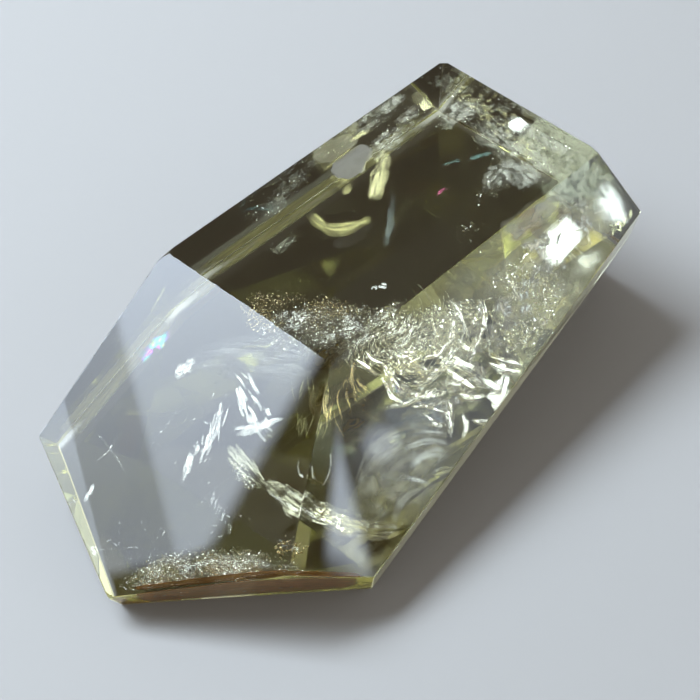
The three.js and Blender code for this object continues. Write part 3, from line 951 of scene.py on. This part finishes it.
def make_table_side():
    """Under the table: a flat grey fracture with two pale tongues at the left wall, a curled crack, a
    straight streak, and a hazy healed break at the far end."""
    join_sheets("bright_tongues", "tongue", sheets(ALONG_WALL, [
        (3.4, 91, (30.5, 13.2, 11.7), (26.0, 11.1, 10.7), (21.4, 9.1, 9.8)),
    ], taper=0.3, bulge=0.1, soft=0.25) + sheets(ALONG_TABLE, [
        (2.4, 93, (37.0, 12.6, 22.5), (36.3, 11.0, 22.4), (35.2, 8.9, 22.1)),
    ], taper=0.2, soft=0.2))
    join_sheets("pale_tongues", "pale", sheets(ALONG_TABLE, [
        (2.6, 92, (12.9, 14.3, 13.3), (12.0, 11.3, 13.0), (13.1, 8.2, 13.5), (16.5, 5.5, 14.7)),
    ], taper=0.3, bulge=0.1, along=40, soft=0.25) + sheets(ALONG_WALL, [
        (6.4, 95, (21.5, 16.8, 9.0), (25.0, 15.6, 10.7), (29.4, 14.4, 12.7)),
    ], taper=0.2, ragged=0.5) + sheets(ALONG_WALL, [
        (1.8, 105, (24.3, 15.9, 19.0), (26.2, 15.0, 20.0), (27.8, 13.7, 21.1)),
    ], taper=0.3, ragged=0.5) + sheets(ALONG_WALL, [
        (1.5, 205, (18.9, 12.9, 12.7), (19.6, 12.4, 13.1), (20.8, 12.3, 13.6)),
    ], taper=0.3))
    join_sheets("grey_fracture", "grey", sheets(UNDER_SIDE_LIGHT, [
        (4.8, 99, (21.3, 15.9, 12.1), (25.1, 15.3, 12.3), (29.0, 14.7, 12.6)),
    ], ragged=0.3, along=40, across=16, soft=0.15))
    join_sheets("blue_streaks", "streak", sheets(ALONG_TABLE, [
        (1.3, 96, (22.0, 6.1, 15.2), (17.5, 3.7, 13.7), (13.0, 1.7, 12.2)),
    ], taper=0.3))
    join_sheets("cyan_glints", "cyan", sheets(ALONG_TABLE, [
        (0.8, 97, (4.2, 19.4, 20.0), (6.1, 17.7, 20.7), (6.7, 15.1, 21.0)),
        (0.8, 197, (8.4, 18.1, 18.6), (8.1, 16.9, 18.6), (7.5, 15.6, 18.4)),
    ], ragged=0.6) + sheets(ALONG_TABLE, [
        (0.9, 89, (28.5, 2.8, 18.0), (30.0, 1.6, 18.5), (31.0, 0.6, 18.9)),
        (0.8, 90, (31.5, 0.3, 18.0), (33.5, -1.1, 18.7), (35.0, -2.4, 19.2)),
    ], ragged=0.7))
    join_sheets("pink_glint", "pink", sheets(ALONG_TABLE, [
        (0.7, 88, (23.4, 0.0, 17.6), (24.7, -0.1, 18.0), (25.4, -0.7, 18.3)),
    ], ragged=0.7))

    wall = sheets(ALONG_TABLE, [
        (2.6, 108, (5.5, 16.6, 20.1), (7.7, 16.0, 20.9), (9.9, 15.1, 21.7)),
        (3.4, 109, (9.4, 17.2, 20.4), (12.4, 16.5, 21.5), (15.3, 15.5, 22.5)),
        (2.2, 110, (15.2, 17.1, 21.9), (17.3, 16.1, 22.6), (19.6, 15.5, 23.4)),
        (3.0, 116, (20.8, 15.6, 21.0), (22.9, 14.9, 21.8), (25.5, 14.5, 22.7)),
        (4.0, 117, (26.7, 14.8, 21.0), (30.3, 14.0, 22.3), (34.0, 12.6, 23.6)),
        (2.0, 118, (2.6, 13.3, 14.3), (4.8, 12.7, 15.1), (7.1, 12.0, 15.9)),
        (2.4, 119, (3.5, 18.5, 19.0), (8.0, 17.0, 19.5), (13.0, 16.2, 20.0)),
    ])
    join_sheets("wall_wisps", "wisp", wall)
    scatter_grains("wall_grains", "grain", wall, per_area=10, patches=0.6, depth=0.5,
                   sizes=(0.05, 0.32), looks=ALONG_TABLE, lean=24, seed=109)
    join_sheets("white_flake", "slope_break", splinters(
        6, (3, -3.2, 18.9), (4.6, -4.3, 19.5), ALONG_TABLE, spread=0.2, length=1.4, width=0.7, loose=8,
        seed=97, ragged=0.6,
    ))

    end = sheets(ALONG_TABLE, [
        (5.5, 98, (27.5, -4.6, 18.5), (32.0, -6.5, 19.5), (33.0, -12.0, 20.0)),
    ], ragged=0.5, crumple=0.2, along=30, across=10) + sheets(ALONG_TABLE, [
        (7.0, 99, (39.1, 4.5, 17.7), (38.1, -1.2, 17.6), (37.1, -6.8, 17.4), (36.1, -12.3, 17.2)),
        (5.0, 100, (34.7, 6.7, 18.2), (38.8, 6.0, 19.5), (41.0, 3.0, 20.3)),
        (5.0, 103, (42.4, 1.0, 22.3), (41.2, -5.0, 22.0), (38.9, -13.7, 21.5)),
    ], ragged=0.3, crumple=0.3, along=40, across=14, skin=DEEP_SKIN) + sheets(ALONG_TABLE, [
        (5.0, 115, (41.4, 11.2, 23.0), (42.0, 9.5, 22.3), (42.3, 8.0, 21.6)),
    ], skin=SHALLOW_SKIN) + sheets(ALONG_WALL, [
        (5.0, 106, (33.2, 13.4, 15.6), (35.4, 13.1, 16.4), (37.7, 12.1, 17.7)),
        (5.0, 107, (26.9, 14.6, 11.2), (30.8, 13.0, 13.5), (34.9, 11.8, 15.4)),
    ], ragged=0.5, crumple=0.3, along=30, across=10, skin=DEEP_SKIN)
    join_sheets("end_haze", "mist", end)
    scale = {"loose": 10, "along": 10}
    join_sheets("table_end_scales", "wisp", splinters(
        50, (42, 9, 21.5), (38.5, -13, 21.5), ALONG_TABLE, spread=1.5, length=3.0, width=1.3,
        seed=461, across=4, crumple=0.05, **scale,
    ) + splinters(
        10, (40, 11.5, 23), (42.6, 8.5, 24), ALONG_TABLE, spread=0.8, length=2.5, width=1.2,
        seed=661, across=4, **scale,
    ))
    join_sheets("olive_scales", "pale", splinters(
        70, (41.5, 7, 22), (37.5, -7.3, 20.8), ALONG_TABLE, spread=1.7, length=2.2, width=1.1,
        seed=761, across=6, soft=1.0, **scale,
    ))
    join_sheets("end_spot", "glow", sheets(ALONG_TABLE, [
        (4.6, 104, (41.6, -1.5, 21.3), (40.9, -2.7, 21.2), (40.3, -4.6, 21.2)),
    ], taper=0.3, soft=1.0, ragged=0.15))
    scatter_grains("end_grains", "grain", end, per_area=12, patches=0.3, depth=0.9,
                   sizes=(0.05, 0.32), looks=ALONG_TABLE, lean=30, seed=101)
    trail = sheets(ALONG_TABLE, [
        (2.0, 102, (15.0, -8.5, 17.4), (20.0, -7.0, 17.8), (24.0, -6.0, 18.2), (29.0, -5.5, 18.6)),
    ], crumple=0.4)
    scatter_grains("sparkle_trail", "grain", trail, per_area=14, patches=0.3, depth=1.0,
                   sizes=(0.06, 0.30), looks=ALONG_TABLE, lean=24, seed=103)


def make_edge_bands_and_flecks():
    """Painted light bands on the front wall and the left base edge, and polishing chalk in tiny pits."""
    # Painted light: red-brown for the brown-orange of light on its long path through the stone, and the
    # floor mirrored at a grazing angle.
    join_sheets("front_wall_light_band", "front_wall_light", sheets(FRONT_WALL, [
        (9.6, 111, (-44.2, 1.3, 3.2), (-35.4, -10.7, 4.8), (-26.6, -21.6, 4.0)),
    ], taper=0.2, ragged=0.05, soft=0.1, along=30, across=12))
    join_sheets("front_flecks", "chalk", splinters(
        22, (-43.5, 0, 3), (-28, -19.5, 4), FRONT_WALL, spread=0.6, length=1.0, width=0.35, loose=3,
        seed=341, skin=STAIN_SKIN,
    ))
    # Painted light: a cream band along the rolled base edge, where floor light shows through it.
    base_edge_light = {"taper": 0.03, "ragged": 0.06, "soft": 0.35, "skin": BASE_SKIN}
    join_sheets("base_edge_light_band", "base_edge_light", sheets(BASE_SIDE, [
        (2.4, 112, (-28.0, 23.5, 0.8), (-14.0, 23.5, 0.8), (-1.5, 23.4, 0.8)),
    ], along=40, **base_edge_light) + sheets(BASE_END, [
        (2.4, 113, (-1.0, 23.3, 0.8), (22.0, 19.2, 0.8), (46.5, 14.9, 0.8)),
    ], along=50, **base_edge_light))


# ---------------------------------------------------------------- floor and light

FLOOR_GAP = 0.05 * MM  # the stone touches the floor at a few high spots only
FLOOR_SIZE = 3.0
FLOOR_COLOUR = "c6c4bf"
FLOOR_PAINTED_GLOW = "241b0a"  # painted light: a faint brown glow of the floor, which shows only through the stone, where no lamp light reaches


def floor_material():
    """Matt pale card with a faint brown glow: painted light, seen only through the stone, where no lamp
    light reaches.
    """
    material, tree = new_material("pale_floor")
    surface = node(tree, "ShaderNodeBsdfPrincipled", {
        "Base Color": linear(FLOOR_COLOUR), "Roughness": 0.8,
        # Painted light: the floor glows faintly, to light the floor under the stone that the lamps don't
        # reach.
        "Emission Color": linear(FLOOR_PAINTED_GLOW), "Emission Strength": 1.0,
    })
    node(tree, "ShaderNodeOutputMaterial", links={"Surface": surface.outputs[0]})
    return material


def flat_panel(name, corners, height, material):
    """A flat rectangle that looks up. Its corners are left, bottom, right and top."""
    left, bottom, right, top = corners
    mesh = bpy.data.meshes.new(name)
    places = [(left, bottom, height), (right, bottom, height), (right, top, height), (left, top, height)]
    mesh.from_pydata(places, [], [(0, 1, 2, 3)])
    return add_object(name, mesh, material)


def make_floor():
    half = FLOOR_SIZE / 2
    flat_panel("floor", (-half, -half, half, half), -FLOOR_GAP, floor_material())


def softbox(name, centre, aimed_at, corners, material):
    """A flat panel of light, built across and up about its own middle and aimed at a point. In metres."""
    panel = flat_panel(name, corners, 0.0, material)
    away = (centre - aimed_at).normalized()
    across = Vector((0, 0, 1)).cross(away).normalized()
    turn = Matrix((across, away.cross(across), away)).transposed()
    panel.matrix_world = Matrix.Translation(centre) @ turn.to_4x4()


DAYLIGHT = "d7e5f6"
ACROSS = (1, 0, 0)
UP = (0, 1, 0)

# A light's parts are fades: how a place on the panel is measured, the two measures between which the fade
# runs, and how strong the light is at each. Measures are metres across and up from the panel's middle.
# The steps then put the parts together two at a time, and the last step is the whole light.

# The window stands up to the left: one big pane, with a bar across its lower right and a blind, whose edge
# falls to the right, over its upper right. The sky is brighter towards the left, so its reflection in
# a polished face fades to the right.
WINDOW_CENTRE = Vector((-0.246, 0.305, 0.605))
WINDOW_AIM = Vector((-0.02, 0.005, 0.015))
WINDOW_CORNERS = (-0.36, -0.26, 0.10, 0.24)
BAR_GLOW = 0.60
WINDOW_PARTS = [
    ("bar", "DOT_PRODUCT", UP, "LINEAR", (-1, 1), (BAR_GLOW, BAR_GLOW)),
    ("above_bar", "DOT_PRODUCT", UP, "SMOOTHSTEP", (-0.031, -0.018), (0, 1)),
    ("below_bar", "DOT_PRODUCT", UP, "SMOOTHSTEP", (-0.0495, -0.053), (0, 1)),
    ("left_of_bar", "DOT_PRODUCT", ACROSS, "SMOOTHSTEP", (-0.030, -0.048), (0, 1)),
    ("below_blind", "DOT_PRODUCT", (0.95, 1, 0), "SMOOTHSTEP", (0.058, 0.044), (0, 1)),
    ("pane", "DOT_PRODUCT", ACROSS, "SMOOTHSTEP", (0.066, 0.058), (0, 1)),
    ("low_pane", "DOT_PRODUCT", ACROSS, "SMOOTHSTEP", (0.10, 0.09), (0, 1)),
    ("sky", "DOT_PRODUCT", ACROSS, "LINEAR", (-0.07, 0.03), (16, 9)),
]
WINDOW_STEPS = [
    ("open", "MAXIMUM", "bar", "above_bar"),
    ("open", "MAXIMUM", "open", "below_bar"),
    ("open", "MAXIMUM", "open", "left_of_bar"),
    ("open", "MULTIPLY", "open", "below_blind"),
    ("open", "MULTIPLY", "open", "pane"),
    ("low_open", "MULTIPLY", "below_bar", "low_pane"),
    ("open", "MAXIMUM", "open", "low_open"),
    ("all", "MULTIPLY", "open", "sky"),
]

# A weak wide panel at the right front lays a sheen on the side slope, dimmer at its top. Left of it are a
# round lamp and a bright wedge between two slanting edges.
SIDE_CENTRE = Vector((0.241, -0.531, 0.421))
SIDE_AIM = Vector((0.0, -0.015, 0.015))
SIDE_CORNERS = (-0.125, -0.06, 0.16, 0.09)
SIDE_PARTS = [
    ("panel", "DOT_PRODUCT", UP, "SMOOTHSTEP", (0.016, 0.030), (2.0, 0.8)),
    ("panel_left", "DOT_PRODUCT", ACROSS, "SMOOTHSTEP", (-0.075, -0.045), (0, 1)),
    ("lamp", "DISTANCE", (-0.043, 0.014, 0.0), "SMOOTHSTEP", (0.003, 0.014), (6, 0)),
    ("wedge", "DOT_PRODUCT", ACROSS, "SMOOTHSTEP", (-0.106, -0.086), (0, 9)),
    ("wedge_top", "DOT_PRODUCT", (-0.48, 1, 0), "SMOOTHSTEP", (0.052, 0.060), (1, 0)),
    ("wedge_bottom", "DOT_PRODUCT", (-0.976, 1, 0), "SMOOTHSTEP", (0.0745, 0.0865), (0, 1)),
]
SIDE_STEPS = [
    ("wedge", "MULTIPLY", "wedge", "wedge_top"),
    ("wedge", "MULTIPLY", "wedge", "wedge_bottom"),
    ("panel", "MULTIPLY", "panel", "panel_left"),
    ("panel", "MAXIMUM", "panel", "wedge"),
    ("all", "MAXIMUM", "panel", "lamp"),
]


def light_material(name, parts, steps):
    """Cool daylight, drawn on its panel part by part."""
    material, tree = new_material(name)
    place = node(tree, "ShaderNodeTexCoord").outputs["Object"]
    light = {}
    for part, measure, vector, shading, (start, end), (start_glow, end_glow) in parts:
        measured = node(tree, "ShaderNodeVectorMath", {"operation": measure, 1: vector}, {0: place})
        light[part] = node(tree, "ShaderNodeMapRange", {
            "interpolation_type": shading, "From Min": start, "From Max": end,
            "To Min": start_glow, "To Max": end_glow,
        }, {"Value": measured.outputs["Value"]}).outputs["Result"]
    for part, operation, first, second in steps:
        light[part] = node(tree, "ShaderNodeMath", {"operation": operation},
                           {0: light[first], 1: light[second]}).outputs[0]
    glow = node(tree, "ShaderNodeEmission", {"Color": linear(DAYLIGHT)}, {"Strength": light["all"]})
    node(tree, "ShaderNodeOutputMaterial", links={"Surface": glow.outputs[0]})
    return material


def make_lights():
    window = light_material("window_light", WINDOW_PARTS, WINDOW_STEPS)
    softbox("window_light", WINDOW_CENTRE, WINDOW_AIM, WINDOW_CORNERS, window)
    side = light_material("side_light", SIDE_PARTS, SIDE_STEPS)
    softbox("side_light", SIDE_CENTRE, SIDE_AIM, SIDE_CORNERS, side)


ROOM_COLOUR = "fcfdff"
HORIZON_GLOW = 1.15
OVERHEAD_GLOW = 0.20
GLOW_HEIGHT = 0.5  # sine of the height at which the walls' glow has faded


def make_world():
    """A pale studio: bright walls and a dark ceiling."""
    world = bpy.data.worlds.new("studio")
    bpy.context.scene.world = world
    world.use_nodes = True
    tree = world.node_tree
    tree.nodes.clear()
    outward = node(tree, "ShaderNodeTexCoord").outputs["Generated"]
    height = node(tree, "ShaderNodeSeparateXYZ", links={"Vector": outward}).outputs["Z"]
    fall = node(tree, "ShaderNodeMapRange", {
        "interpolation_type": "SMOOTHSTEP", "From Min": 0.0, "From Max": GLOW_HEIGHT,
        "To Min": HORIZON_GLOW, "To Max": OVERHEAD_GLOW,
    }, {"Value": height})
    room = node(tree, "ShaderNodeBackground", {"Color": linear(ROOM_COLOUR)}, {"Strength": fall.outputs[0]})
    node(tree, "ShaderNodeOutputWorld", links={"Surface": room.outputs[0]})


FACETS_CROSSED = 24
MIRRORINGS = 16


def set_light_paths():
    """Light crosses many facets before it leaves the stone."""
    cycles = bpy.context.scene.cycles
    cycles.max_bounces = FACETS_CROSSED
    cycles.transmission_bounces = FACETS_CROSSED
    cycles.transparent_max_bounces = FACETS_CROSSED
    cycles.glossy_bounces = MIRRORINGS
    cycles.caustics_refractive = False


make_camera()
make_floor()
make_lights()
make_world()
set_light_paths()
make_stone()
make_centre()
make_side()
make_slope()
make_table_side()
make_edge_bands_and_flecks()

bpy.context.scene.view_settings.view_transform = "Standard"
